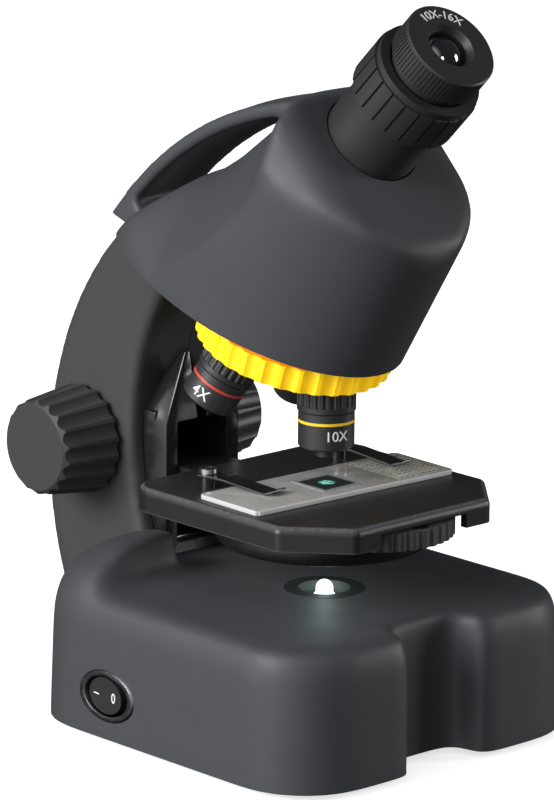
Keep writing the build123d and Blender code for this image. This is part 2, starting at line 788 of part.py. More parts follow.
with BuildPart() as head_floor:
    add(egg_outline(rim_plane.offset(2), wall + 1.6))
    extrude(amount=2.4)
    block((-40, 40), (45, 90), (100, 170), Mode.SUBTRACT)
    add(arm_solid(-0.4), mode=Mode.SUBTRACT)
    with BuildSketch(turret_plane.offset(6.4)):
        Circle(7)
    extrude(amount=6)
    with BuildSketch(turret_plane.offset(6)):
        Circle(2.02)
    extrude(amount=14, mode=Mode.SUBTRACT)
    turned(6.5, 90, 140, Mode.SUBTRACT)
save(head_floor, "head_floor")

with BuildPart() as prism_holder:
    turned(8.2, 110, 149)
    block((-10.4, 10.4), (-9.5, 9.5), (149, 151.6))
    for side in (-1, 1):
        block(sorted((side * 8.3, side * 10.4)), (-8, 9.5), (151.6, 163))
    turned(6.5, 100, 160, Mode.SUBTRACT)
    split(bisect_by=rim_plane.offset(4.4), keep=Keep.TOP)
save(prism_holder, "prism_holder")

with BuildPart() as roof_prism:
    with BuildSketch(Plane.YZ):
        Polygon((-8, 151.8), (8, 151.8), (8, 167), (-4, 167), (-8, 162), align=None)
    extrude(amount=8.1, both=True)
save(roof_prism, "roof_prism")

# ---- eyepiece -----------------------------------------------------------------------
collar_bottom = -26.0
collar_top = -11.5
with BuildPart(eye_plane) as eyepiece_tube:
    turned(tube_radius, -tube_length, collar_top - 1.5)
    turned(12.4, -tube_length - 1, 0, Mode.SUBTRACT)
save(eyepiece_tube, "eyepiece_tube")

with BuildPart(eye_plane) as eyepiece_collar:
    turned(collar_radius, collar_bottom, collar_top - 2.2)
    turned(collar_radius - 0.7, collar_top - 2.2, collar_top)
    with PolarLocations(collar_radius, 22):
        with Locations((0, 0, (collar_bottom + collar_top) / 2 - 2.2)):
            Box(1.6, 0.7, collar_top - collar_bottom, mode=Mode.SUBTRACT)
    turned(tube_radius + 0.02, collar_bottom - 1, collar_top - 1.5, Mode.SUBTRACT)
    turned(13.0, collar_bottom, 0, Mode.SUBTRACT)
save(eyepiece_collar, "eyepiece_collar")

with BuildPart(eye_plane) as eyepiece_barrel:
    turned(12.1, -34, -eye_ring_height - 0.05)
    turned(10.4, -40, 0, Mode.SUBTRACT)
save(eyepiece_barrel, "eyepiece_barrel")

with BuildPart(eye_plane) as field_lens:
    turned(10.35, -32, -29.5)
save(field_lens, "field_lens")

with BuildPart(eye_plane) as eyepiece_ring:
    turned(eye_ring_radius, -eye_ring_height + 0.1, 0)
    chamfer(eyepiece_ring.edges().filter_by(GeomType.CIRCLE).sort_by(Axis.Z)[-1], 0.5)
    with PolarLocations(eye_ring_radius + 0.1, 72):
        with Locations((0, 0, -eye_ring_height / 2 - 0.4)):
            Box(0.8, 0.5, eye_ring_height - 0.8, mode=Mode.SUBTRACT)
    turned(10.2, -10, -5.5, Mode.SUBTRACT)
    turned(6.2, -10, 1, Mode.SUBTRACT)
    with Locations((0, 0, -2)):
        Cone(6.2, 7.4, 2.001, align=low, mode=Mode.SUBTRACT)
save(eyepiece_ring, "eyepiece_ring")

with BuildPart(eye_plane) as eye_lens:
    turned(6.15, -5.4, -3.4)
save(eye_lens, "eye_lens")

with BuildPart(eye_plane) as lens_ring:
    turned(10.1, -6.6, -5.55)
    turned(5.6, -10, 0, Mode.SUBTRACT)
save(lens_ring, "lens_ring")
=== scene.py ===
import math

import bmesh
import bpy
from mathutils import Matrix, Vector


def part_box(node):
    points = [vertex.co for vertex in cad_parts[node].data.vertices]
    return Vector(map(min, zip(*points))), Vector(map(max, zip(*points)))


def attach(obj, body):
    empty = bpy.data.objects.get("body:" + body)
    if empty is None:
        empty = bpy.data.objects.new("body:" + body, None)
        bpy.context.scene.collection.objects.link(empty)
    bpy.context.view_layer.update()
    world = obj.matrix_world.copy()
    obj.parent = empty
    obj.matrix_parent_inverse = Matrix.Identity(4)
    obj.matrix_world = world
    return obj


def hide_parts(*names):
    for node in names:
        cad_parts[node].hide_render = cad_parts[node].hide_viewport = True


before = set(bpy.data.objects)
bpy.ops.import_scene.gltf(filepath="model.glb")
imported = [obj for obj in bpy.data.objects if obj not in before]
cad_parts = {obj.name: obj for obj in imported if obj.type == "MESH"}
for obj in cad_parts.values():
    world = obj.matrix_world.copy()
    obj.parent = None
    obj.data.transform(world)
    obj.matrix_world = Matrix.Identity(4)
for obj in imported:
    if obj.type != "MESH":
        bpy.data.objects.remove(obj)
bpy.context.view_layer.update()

mm = 0.001


def clearSelection():
    if bpy.context.mode != "OBJECT":
        bpy.ops.object.mode_set(mode="OBJECT")
    bpy.ops.object.select_all(action="DESELECT")


def pick(*pieces):
    clearSelection()
    for piece in pieces:
        piece.select_set(True)
    bpy.context.view_layer.objects.active = pieces[0]


def added(name):
    piece = bpy.context.active_object
    piece.name = name
    piece.data.name = name
    return piece


def settle(piece):
    # puts the place into the mesh and leaves the object at the origin
    pick(piece)
    bpy.ops.object.transform_apply(location=True, rotation=True, scale=True)
    return piece


def modify(piece, kind, **settings):
    pick(piece)
    modifier = piece.modifiers.new(kind.title(), kind)
    for key, value in settings.items():
        setattr(modifier, key, value)
    bpy.ops.object.modifier_apply(modifier=modifier.name)
    return piece


def soften(piece, voxel, passes):
    # one skin of even faces, with every edge worn round
    modify(piece, "REMESH", mode="VOXEL", voxel_size=voxel)
    modify(piece, "SMOOTH", factor=0.5, iterations=passes)
    return piece


def subtract(piece, cutter):
    modify(piece, "BOOLEAN", operation="DIFFERENCE", object=cutter, solver="EXACT")
    bpy.data.objects.remove(cutter)
    return piece


def join(*pieces):
    pick(*pieces)
    bpy.ops.object.join()
    return pieces[0]


def copyOf(piece, name):
    pick(piece)
    bpy.ops.object.duplicate()
    return added(name)


def editAll(piece):
    pick(piece)
    bpy.ops.object.mode_set(mode="EDIT")
    bpy.ops.mesh.select_all(action="SELECT")


def leaveEdit():
    bpy.ops.object.mode_set(mode="OBJECT")


def selectWhere(piece, test):
    # in edit mode, selects the vertices whose place passes a test
    bpy.ops.mesh.select_mode(type="VERT")
    mesh = bmesh.from_edit_mesh(piece.data)
    for vertex in mesh.verts:
        vertex.select_set(test(vertex.co))
    mesh.select_flush(True)
    bmesh.update_edit_mesh(piece.data)


def trim(piece, point, normal):
    # cuts off what lies beyond a plane and closes the cut
    editAll(piece)
    bpy.ops.mesh.bisect(plane_co=point, plane_no=normal, use_fill=True, clear_outer=True)
    leaveEdit()
    return piece


def outward(piece):
    # welds the seams and turns every face out
    editAll(piece)
    bpy.ops.mesh.remove_doubles(threshold=0.02 * mm)
    bpy.ops.mesh.normals_make_consistent(inside=False)
    leaveEdit()
    return piece


def box(name, low, high):
    # corners in millimetres
    middle = [(a + b) / 2 * mm for a, b in zip(low, high)]
    clearSelection()
    bpy.ops.mesh.primitive_cube_add(size=1, location=middle)
    piece = added(name)
    piece.scale = [(b - a) * mm for a, b in zip(low, high)]
    return settle(piece)


def rod(name, start, direction, radius, length, corners=96):
    # a cylinder from a start point in millimetres, along a direction
    along = Vector(direction).normalized()
    middle = Vector(start) + along * (length / 2)
    clearSelection()
    bpy.ops.mesh.primitive_cylinder_add(vertices=corners, radius=radius * mm, depth=length * mm)
    piece = added(name)
    piece.rotation_mode = "QUATERNION"
    piece.rotation_quaternion = along.to_track_quat("Z", "Y")
    piece.location = middle * mm
    return settle(piece)


def finishPiece(piece, body, look, smooth=35):
    pick(piece)
    bpy.ops.object.shade_smooth_by_angle(angle=math.radians(smooth))
    piece.data.materials.clear()
    piece.data.materials.append(look)
    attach(piece, body)
    return piece


class Wire:
    # a socket that can be used in a sum
    def __init__(self, look, socket):
        self.look = look
        self.socket = socket

    def __add__(self, other):
        return self.look.maths("ADD", self, other)

    def __sub__(self, other):
        return self.look.maths("SUBTRACT", self, other)

    def __rsub__(self, other):
        return self.look.maths("SUBTRACT", other, self)

    def __mul__(self, other):
        return self.look.maths("MULTIPLY", self, other)

    def __pow__(self, other):
        return self.look.maths("POWER", self, other)

    def __gt__(self, other):
        return self.look.maths("GREATER_THAN", self, other)

    def __lt__(self, other):
        return self.look.maths("LESS_THAN", self, other)

    __radd__ = __add__
    __rmul__ = __mul__


class Look:
    def __init__(self, name):
        self.material = bpy.data.materials.new(name)
        self.material.use_nodes = True
        self.tree = self.material.node_tree
        self.shader = self.tree.nodes["Principled BSDF"]
        self.place = Wire(self, self.tree.nodes.new("ShaderNodeTexCoord").outputs["Object"])

    def feed(self, socket, value):
        if isinstance(value, Wire):
            self.tree.links.new(value.socket, socket)
        elif hasattr(value, "__len__") and len(value) == 3 and socket.type == "RGBA":
            socket.default_value = (*value, 1.0)
        else:
            socket.default_value = value

    def node(self, kind, settings, sockets, output=0):
        node = self.tree.nodes.new(kind)
        for key, value in settings.items():
            if key == "stops":
                ramp = node.color_ramp
                while len(ramp.elements) < len(value):
                    ramp.elements.new(0.5)
                for element, (position, shade) in zip(ramp.elements, value):
                    element.position = position
                    element.color = (*shade, 1.0)
            else:
                setattr(node, key, value)
        for key, value in sockets.items():
            self.feed(node.inputs[key], value)
        return Wire(self, node.outputs[output])

    def maths(self, operation, *values):
        return self.node("ShaderNodeMath", {"operation": operation}, dict(enumerate(values)))

    def noise(self, size, detail=3.0, roughness=0.5, stretch=None):
        # size is how large one patch is, in millimetres
        place = self.place
        if stretch:
            place = self.node("ShaderNodeMapping", {}, {"Vector": place, "Scale": stretch})
        settings = {"Vector": place, "Scale": 1 / (size * mm), "Detail": detail, "Roughness": roughness}
        return self.node("ShaderNodeTexNoise", {}, settings)

    def ramp(self, value, *stops):
        return self.node("ShaderNodeValToRGB", {"stops": stops}, {0: value})

    def part(self, value, low, high, outLow=0.0, outHigh=1.0):
        sockets = {0: value, 1: low, 2: high, 3: outLow, 4: outHigh}
        return self.node("ShaderNodeMapRange", {"interpolation_type": "SMOOTHSTEP"}, sockets)

    def mix(self, factor, first, second):
        sockets = {0: factor, 6: first, 7: second}
        return self.node("ShaderNodeMix", {"data_type": "RGBA"}, sockets, output=2)

    def axes(self, place=None):
        parts = self.tree.nodes.new("ShaderNodeSeparateXYZ")
        self.feed(parts.inputs[0], place or self.place)
        return [Wire(self, parts.outputs[index]) for index in range(3)]

    def colour(self):
        # what feeds the base colour now
        return Wire(self, self.shader.inputs["Base Color"].links[0].from_socket)

    def bump(self, height, depth, strength=1.0):
        # depth in millimetres
        sockets = {"Height": height, "Distance": depth * mm, "Strength": strength}
        self.feed(self.shader.inputs["Normal"], self.node("ShaderNodeBump", {}, sockets))

    def set(self, **values):
        for key, value in values.items():
            self.feed(self.shader.inputs[key.replace("_", " ")], value)
        return self


def plastic(name, colour, roughness, grain=0.35, depth=0.02, patch=18, spread=0.12, sheen=0.0, coat=0.0):
    # moulded plastic: a fine eroded skin, handled patches and a little dust in the colour
    look = Look(name)
    fine = look.noise(grain, 4.0, 0.6)
    cloud = look.noise(patch, 3.0, 0.55)
    dust = look.part(look.noise(1.6, 2.0, 0.7), 0.66, 0.78)
    pale = tuple(c * (1 + spread) + 0.002 for c in colour)
    deep = tuple(c * (1 - spread) for c in colour)
    base = look.mix(cloud, deep, pale)
    dusty = look.mix(dust * 0.25, base, tuple(min(1.0, c * 1.5 + 0.01) for c in colour))
    handled = look.part(cloud + fine * 0.35, 0.3, 0.95, roughness + 0.05, roughness - 0.05)
    look.set(Base_Color=dusty, Roughness=handled)
    look.set(Sheen_Weight=sheen, Sheen_Roughness=0.5, Coat_Weight=coat, Coat_Roughness=0.15)
    look.bump(fine, depth)
    return look


def steel(name, colour, roughness, stretch=(1, 1, 1), grain=0.25):
    look = Look(name)
    lines = look.noise(grain, 4.0, 0.6, stretch)
    brightenMask = look.noise(3.0, 3.0, 0.6)
    look.set(Base_Color=look.mix(brightenMask, tuple(c * 0.78 for c in colour), colour), Metallic=1.0)
    look.set(Roughness=look.part(lines * 0.6 + brightenMask * 0.4, 0.3, 0.7, roughness - 0.07, roughness + 0.1))
    look.bump(lines, 0.01)
    return look


# a point on the turret's axis, in metres, and its tilt, then the heights in millimetres over which the
# neck's painted shade fades in
turretRing = {"y": 0.0142, "z": 0.1125, "tilt": 18, "neckShade": (7.1, 7.6)}


def turretLook():
    # the scalloped band is lemon yellow; its neck and roots are deeper orange, which is painted shade
    # from the head's rim, and the whole ring has a faint painted glow
    lemon = (1.0, 0.66, 0.012)
    look = plastic("turretYellow", lemon, 0.36, grain=0.6, depth=0.008, spread=0.04, coat=0.1)
    tilt = math.radians(turretRing["tilt"])
    x, y, z = look.axes()
    height = (z - turretRing["z"]) * math.cos(tilt) - (y - turretRing["y"]) * math.sin(tilt)
    low, high = turretRing["neckShade"]
    # painted shade: above these heights the band turns deeper orange, as if shaded by the head's rim
    neckShade = look.part(height, low * mm, high * mm)
    look.set(Base_Color=look.mix(neckShade, look.colour(), (1.0, 0.32, 0.0)))
    # a faint painted glow in lemon and deep orange, standing in for light through the yellow plastic
    look.set(Emission_Color=look.mix(neckShade, (1.0, 0.58, 0.01), (1.0, 0.3, 0.0)), Emission_Strength=0.4)
    return look


looks = {}
looks["softGrey"] = plastic("softGrey", (0.048, 0.0505, 0.057), 0.54, grain=0.4, depth=0.018, sheen=0.02)
looks["armGrey"] = plastic("armGrey", (0.042, 0.0425, 0.044), 0.56, grain=0.4, depth=0.018, sheen=0.02)
looks["knobGrey"] = plastic("knobGrey", (0.034, 0.034, 0.036), 0.5, grain=0.45, depth=0.03, sheen=0.06)
looks["innerBlack"] = plastic("innerBlack", (0.018, 0.018, 0.019), 0.5, grain=0.5, depth=0.02)
looks["opticBlack"] = plastic("opticBlack", (0.026, 0.026, 0.028), 0.42, grain=0.3, depth=0.012)
looks["bracketBlack"] = plastic(
    "bracketBlack", (0.012, 0.012, 0.013), 0.2, grain=2.2, depth=0.01, coat=0.35)
looks["dishBlack"] = plastic("dishBlack", (0.007, 0.007, 0.0075), 0.45, grain=0.6, depth=0.02)
looks["turretYellow"] = turretLook()
looks["bandYellow"] = plastic("bandYellow", (0.95, 0.62, 0.03), 0.35, spread=0.05)
looks["bandRed"] = plastic("bandRed", (0.62, 0.06, 0.035), 0.35, spread=0.05)
looks["bandBlue"] = plastic("bandBlue", (0.03, 0.14, 0.55), 0.35, spread=0.05)
looks["rubber"] = plastic("rubber", (0.02, 0.02, 0.02), 0.75, grain=0.6, depth=0.03)
looks["nylon"] = plastic("nylon", (0.72, 0.70, 0.64), 0.4, spread=0.04)
looks["gunmetal"] = steel("gunmetal", (0.16, 0.16, 0.17), 0.28)
looks["brightSteel"] = steel("brightSteel", (0.66, 0.66, 0.67), 0.25)
looks["blueSteel"] = steel("blueSteel", (0.12, 0.12, 0.125), 0.3, (1, 6, 1))
looks["brass"] = steel("brass", (0.75, 0.53, 0.22), 0.3)
looks["boardGreen"] = plastic("boardGreen", (0.02, 0.16, 0.06), 0.35)
looks["cellWrap"] = plastic("cellWrap", (0.12, 0.16, 0.2), 0.3)
looks["white"] = plastic("printWhite", (0.85, 0.85, 0.85), 0.45, spread=0.02)
for name in ("softGrey", "armGrey"):
    looks[name].set(Specular_IOR_Level=0.38)


def stageLook():
    # satin black; the top and bottom edges are lighter, partly rubbed wear and partly a painted
    # highlight along the rounded edges
    look = plastic("stageBlack", (0.013, 0.013, 0.014), 0.38, grain=0.45, depth=0.035)
    x, y, z = look.axes()
    low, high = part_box("stage_plate")
    rough = look.noise(0.9, 4.0, 0.7)
    # painted highlight: a lighter band along the top's rounded edge and a fainter one along the foot,
    # mixed with rubbed wear
    below = look.part(z, high.z - 1.5 * mm, high.z - 0.2 * mm)
    rim = below * look.part(z, high.z + 0.02 * mm, high.z - 0.25 * mm)
    foot = look.part(z, low.z + 0.5 * mm, low.z - 0.05 * mm)
    brightenMask = look.part(rough, 0.25, 0.8, 0.35, 1.0) * (rim * 0.4 + foot * 0.2)
    look.set(Base_Color=look.mix(brightenMask, look.colour(), (0.32, 0.33, 0.34)))
    return look


def glassLook(name, colour, roughness, alpha, transmission=0.0):
    look = Look(name)
    haze = look.noise(4.0, 3.0, 0.5)
    look.set(Base_Color=look.mix(haze, tuple(c * 0.92 for c in colour), colour), Alpha=alpha, IOR=1.5)
    look.set(Roughness=look.part(haze, 0.3, 0.7, roughness, roughness + 0.06))
    look.set(Transmission_Weight=transmission)
    return look


# the slide's printed areas as x and y limits in metres, and the half sizes inside its edge, past which
# the edge carries a painted highlight
slidePrint = {
    "turn": 2, "field": (0.0175, 0.0368, -0.0122, 0.0102), "inner": (0.0186, 0.0357, -0.0111, 0.0091),
    "frame": (0.0182, 0.0361, -0.0115, 0.0095), "row": 0.0017, "column": 0.0021,
    "middle": (0.0002, -0.0007), "edge": (0.03755, 0.01255),
}


def slideLook():
    # frosted slide with a plain ruled label field at its right end and a painted highlight round its
    # edges
    look = Look("frostedSlide")
    turn = (0, 0, math.radians(slidePrint["turn"]))
    turned = look.node("ShaderNodeMapping", {}, {"Vector": look.place, "Rotation": turn})
    x, y, z = look.axes(turned)

    def within(limits):
        left, right, near, far = limits
        return (x > left) * (x < right) * (y > near) * (y < far)

    field = within(slidePrint["field"])
    inner = within(slidePrint["inner"])
    border = within(slidePrint["frame"]) * (1 - inner)
    rows = look.maths("FRACT", y * (1 / slidePrint["row"]))
    columns = look.maths("FRACT", x * (1 / slidePrint["column"]))
    marks = look.part(look.noise(0.55, 2.0, 0.5), 0.42, 0.5)
    ink = inner * (rows > 0.55) * (columns > 0.25) * marks + border
    haze = look.noise(6.0, 3.0, 0.5)
    clear = look.mix(haze, (0.42, 0.415, 0.405), (0.60, 0.595, 0.58))
    middleX, middleY = slidePrint["middle"]
    edgeX, edgeY = slidePrint["edge"]
    # the band past the edge half sizes is painted light grey and nearly opaque: a painted highlight
    # where the slide's edges catch the light
    side = look.maths("ABSOLUTE", y - middleY)
    end = look.maths("ABSOLUTE", x - middleX)
    rim = look.maths("MAXIMUM", side > edgeY, end > edgeX)
    paper = look.mix(rim, look.mix(field, clear, (0.98, 0.96, 0.88)), (0.6, 0.6, 0.6))
    look.set(Base_Color=look.mix(ink * 0.85, paper, (0.05, 0.05, 0.05)))
    look.set(Alpha=look.part(field + rim, 0, 1, 0.74, 0.97))
    look.set(Roughness=look.part(haze, 0.3, 0.7, 0.18, 0.3), IOR=1.49)
    look.set(Coat_Weight=0.4, Coat_Roughness=0.08)
    return look


def lampLook():
    # a clear window that glows in the middle, with faint rays
    look = Look("lampDome")
    x, y, z = look.axes()
    radius = (x * x + y * y) ** 0.5
    angle = look.maths("ARCTAN2", y, x)
    ray = look.maths("ABSOLUTE", look.maths("SINE", angle * 9))
    fade = look.part(radius, 0.0088, 0.0016)
    core = look.part(radius, 0.0058, 0.0036)
    glow = core + fade * fade * ray ** 3.0 * 0.4
    look.set(Base_Color=look.mix(fade, (0.006, 0.008, 0.008), (0.05, 0.08, 0.08)))
    look.set(Roughness=0.12, Coat_Weight=0.5)
    look.set(Emission_Color=look.mix(glow, (0, 0, 0), (0.78, 1.0, 0.97)), Emission_Strength=7.0)
    return look


def coverLook():
    # dark mount with a small stained spot, whose dye colours also glow faintly as painted light
    look = Look("coverGlass")
    x, y, z = look.axes()
    low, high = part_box("cover_glass")
    middle = (low + high) / 2
    dx = x - middle.x
    dy = y - middle.y
    radius = (dx * dx + dy * dy) ** 0.5
    swirl = look.noise(1.6, 4.0, 0.6)
    spot = look.part(radius + swirl * 0.0016, 0.0036, 0.0026)
    dyes = (0.35, (0.01, 0.10, 0.10)), (0.5, (0.05, 0.55, 0.45)), (0.62, (0.6, 0.95, 0.9))
    stainAndGlow = look.ramp(swirl, *dyes)
    reach = look.maths("MAXIMUM", look.maths("ABSOLUTE", dx), look.maths("ABSOLUTE", dy))
    inside = look.part(reach, 0.0061, 0.0058)
    ground = look.mix(inside, (0.30, 0.32, 0.33), (0.016, 0.02, 0.02))
    look.set(Base_Color=look.mix(spot * inside, ground, stainAndGlow), Roughness=0.06, Coat_Weight=0.6)
    # painted glow: the stained spot also glows faintly in its own dye colours
    look.set(Emission_Color=look.mix(spot * inside, (0, 0, 0), stainAndGlow), Emission_Strength=0.35)
    return look


looks["stageBlack"] = stageLook()
looks["slide"] = slideLook()
looks["cover"] = coverLook()
looks["lens"] = glassLook("lensGlass", (0.008, 0.01, 0.014), 0.02, 1.0)
looks["lens"].set(Coat_Weight=1.0, Coat_Roughness=0.01, Coat_IOR=2.2, IOR=1.9, Specular_IOR_Level=0.9)
looks["prism"] = glassLook("prismGlass", (0.85, 0.9, 0.95), 0.02, 0.4, 0.6)
looks["lamp"] = lampLook()

nodeLooks = {
    "softGrey": ["base_shell", "head_shell", "carry_handle"],
    "armGrey": ["arm_left", "arm_right"],
    "knobGrey": ["knob_left", "knob_right", "aperture_disc"],
    "innerBlack": ["base_plate", "battery_door", "battery_tray", "head_floor", "prism_holder",
                   "switch_rocker", "lamp_ring"],
    "stageBlack": ["stage_plate"],
    "dishBlack": ["stage_carrier"],
    "bracketBlack": ["stage_guide", "clip_posts"],
    "opticBlack": ["eyepiece_tube", "eyepiece_collar", "eyepiece_barrel", "eyepiece_ring", "lens_ring",
                   "objective_10x_barrel", "objective_4x_barrel", "objective_40x_barrel", "turret_plate",
                   "objective_10x_collar", "objective_4x_collar", "objective_40x_collar"],
    "turretYellow": ["turret_ring"],
    "bandYellow": ["objective_10x_band"],
    "bandRed": ["objective_4x_band"],
    "bandBlue": ["objective_40x_band"],
    "brightSteel": ["focus_shaft", "clip_screws", "turret_screw", "turret_detent",
                    "arm_screws", "base_screws", "stage_screws", "battery_contacts", "disc_pivot"],
    "blueSteel": ["clip_left", "clip_right"],
    "brass": ["focus_bushes"],
    "nylon": ["focus_pinion", "focus_rack"],
    "rubber": ["feet"],
    "gunmetal": ["switch_bezel"],
    "cellWrap": ["battery_cells"],
    "boardGreen": ["lamp_board"],
    "lamp": ["lamp_lens"],
    "lens": ["objective_lenses", "eye_lens", "field_lens"],
    "prism": ["roof_prism"],
    "cover": ["cover_glass"],
    "slide": ["specimen_slide"],
}
for lookName, nodes in nodeLooks.items():
    for node in nodes:
        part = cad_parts[node]
        part.data.materials.clear()
        part.data.materials.append(looks[lookName].material)
print("materials", len(looks))


camera = {
    "place": (-0.99718, -1.05261, 0.46022), "azimuth": -42.886, "elevation": 13.981, "roll": 0.493,
    "lens": 233.05, "sensor": 36, "near": 0.05, "far": 60,
}


def makeCamera():
    data = bpy.data.cameras.new("camera")
    data.lens = camera["lens"]
    data.sensor_width = camera["sensor"]
    data.clip_start = camera["near"]
    data.clip_end = camera["far"]
    holder = bpy.data.objects.new("camera", data)
    bpy.context.scene.collection.objects.link(holder)
    turn = Matrix.Rotation(math.radians(camera["azimuth"]), 4, "Z")
    tip = Matrix.Rotation(math.radians(90 - camera["elevation"]), 4, "X")
    roll = Matrix.Rotation(math.radians(camera["roll"]), 4, "Z")
    holder.matrix_world = Matrix.Translation(camera["place"]) @ turn @ tip @ roll
    bpy.context.scene.camera = holder


def makeLight(name, place, size, power):
    target = (0, 0.01, 0.11)
    data = bpy.data.lights.new(name, "AREA")
    data.shape = "RECTANGLE"
    data.size, data.size_y = size
    data.energy = power
    holder = bpy.data.objects.new(name, data)
    bpy.context.scene.collection.objects.link(holder)
    holder.location = place
    holder.rotation_mode = "QUATERNION"
    holder.rotation_quaternion = (Vector(target) - Vector(place)).to_track_quat("-Z", "Y")


studio = {
    "bright": (-0.92, 0.0, 0.38), "edge": 0.4, "low": 0.035, "high": 1.35, "sky": (0.97, 0.985, 1.0, 1),
    "floorSize": 16, "floorPlace": (0, 3, -0.0001), "floorGlow": 0.7,
    "lampPower": 0.0025, "lampRise": 0.012, "lampColour": (0.7, 1.0, 0.95),
}
# each lamp's place, size and power
lamps = {
    "keyLight": ((-1.55, 0.35, 0.75), (0.9, 0.7), 30),
    "frontLight": ((-0.4, -1.5, 1.0), (0.3, 0.4), 2.9),
    "rimLight": ((1.45, -0.9, 0.35), (0.4, 0.9), 15),
}


def makeStudio():
    # a soft sky that is brightest high on the left and almost dark on the right
    world = bpy.data.worlds.new("studio")
    bpy.context.scene.world = world
    world.use_nodes = True
    nodes, links = world.node_tree.nodes, world.node_tree.links
    sky = nodes["Background"]
    place = nodes.new("ShaderNodeTexCoord")
    dot = nodes.new("ShaderNodeVectorMath")
    dot.operation = "DOT_PRODUCT"
    dot.inputs[1].default_value = Vector(studio["bright"]).normalized()
    span = nodes.new("ShaderNodeMapRange")
    span.interpolation_type = "SMOOTHSTEP"
    span.inputs["From Min"].default_value = studio["edge"]
    span.inputs["From Max"].default_value = 1.0
    span.inputs["To Min"].default_value = studio["low"]
    span.inputs["To Max"].default_value = studio["high"]
    links.new(place.outputs["Generated"], dot.inputs[0])
    links.new(dot.outputs["Value"], span.inputs[0])
    links.new(span.outputs[0], sky.inputs["Strength"])
    sky.inputs["Color"].default_value = studio["sky"]
    bpy.context.scene.view_settings.view_transform = "Standard"
    for name, (spot, size, power) in lamps.items():
        makeLight(name, spot, size, power)
    clearSelection()
    bpy.ops.mesh.primitive_grid_add(
        x_subdivisions=4, y_subdivisions=4, size=studio["floorSize"], location=studio["floorPlace"])
    floor = settle(added("floor"))
    floor.visible_diffuse = False
    floor.visible_glossy = False
    look = Look("floorPaper")
    look.set(Base_Color=look.mix(look.noise(400, 2.0), (0.86, 0.87, 0.88), (0.9, 0.9, 0.91)))
    look.set(Roughness=0.8, Specular_IOR_Level=0.1)
    look.set(Emission_Color=(1.0, 1.0, 1.0), Emission_Strength=studio["floorGlow"])
    floor.data.materials.append(look.material)
    # what the lamp throws on its own ring and the plateau
    data = bpy.data.lights.new("lampGlow", "POINT")
    data.energy = studio["lampPower"]
    data.shadow_soft_size = 0.003
    data.color = studio["lampColour"]
    data.specular_factor = 0
    holder = bpy.data.objects.new("lampGlow", data)
    bpy.context.scene.collection.objects.link(holder)
    holder.location = (0, 0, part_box("lamp_lens")[1].z + studio["lampRise"])


makeCamera()
makeStudio()
print("studio")


# the eyepiece's own frame, which the head and the numerals also use
eye = {"face": Vector((0, -48.6, 209.7)), "out": Vector((0, -1, 1)).normalized(), "tube": 14.2}

head = {
    "rim": (0, 25, 125.6), "tilt": 18, "halfWidth": 32.7, "front": 46.5, "rear": 57.0,
    "lean": (0, -0.532, 0.847), "height": 120, "drop": 14, "wall": 2.6,
    "face": (0, -46, 150.1), "faceNormal": (0, -1, 1),
    "top": (0, 3.5, 189.4), "topNormal": (0, 0.30, 1),
    "back": (0, 10, 186.8), "backNormal": (0, 0.60, 0.8),
    "tail": (0, 80.5, 143), "tailNormal": (0, 1, 0.25),
    # the profile along the middle, as y and z
    "crest": ((-30, 245), (-10, 212), (-3, 196.5), (5, 186.5), (14.9, 179), (28, 169.3),
              (41.1, 161.6), (50, 160.5), (60, 160), (68, 157.5), (79, 151.5), (90, 143), (105, 127)),
    # the cutter's width, length and middle, and how high it is drawn up
    "crestSheet": (96, 136, 37), "crestBlock": 150,
    "dome": 26, "domeWidth": 30, "domePower": 2.1, "domeFrom": -30, "domeOver": 30,
    # facets round the face: how far sideways, down and out, then how far the normal
    # leans sideways and down
    "brow": (-3.5, 0.7),
    "facets": (((22, -25, 0), (0.55, 0)), ((27.5, -25, -3.5), (1.5, 0)), ((20, -9, 0), (0.8, 0.8))),
    "voxel": 1.5, "passes": 22, "joinVoxel": 1.0, "joinPasses": 6,
    "hollowVoxel": 2.0, "hollowPasses": 14, "hollowDrop": 1.5, "eyeHoleGap": 0.45,
}
handle = {
    "centre": (0, -17.1, 62.7), "outer": 126.9, "halfWidth": 12.6,
    # the middle of the strip stands proud: share of the width, then share of the crown
    "crown": 0.9, "crownSteps": ((0.6, 0.45), (0.3, 0.55)),
    # thickness, first and last angle, steps
    "arch": (4.2, -8, -52.5, 40), "root": (10.5, -45.5, -52.5, 8),
}


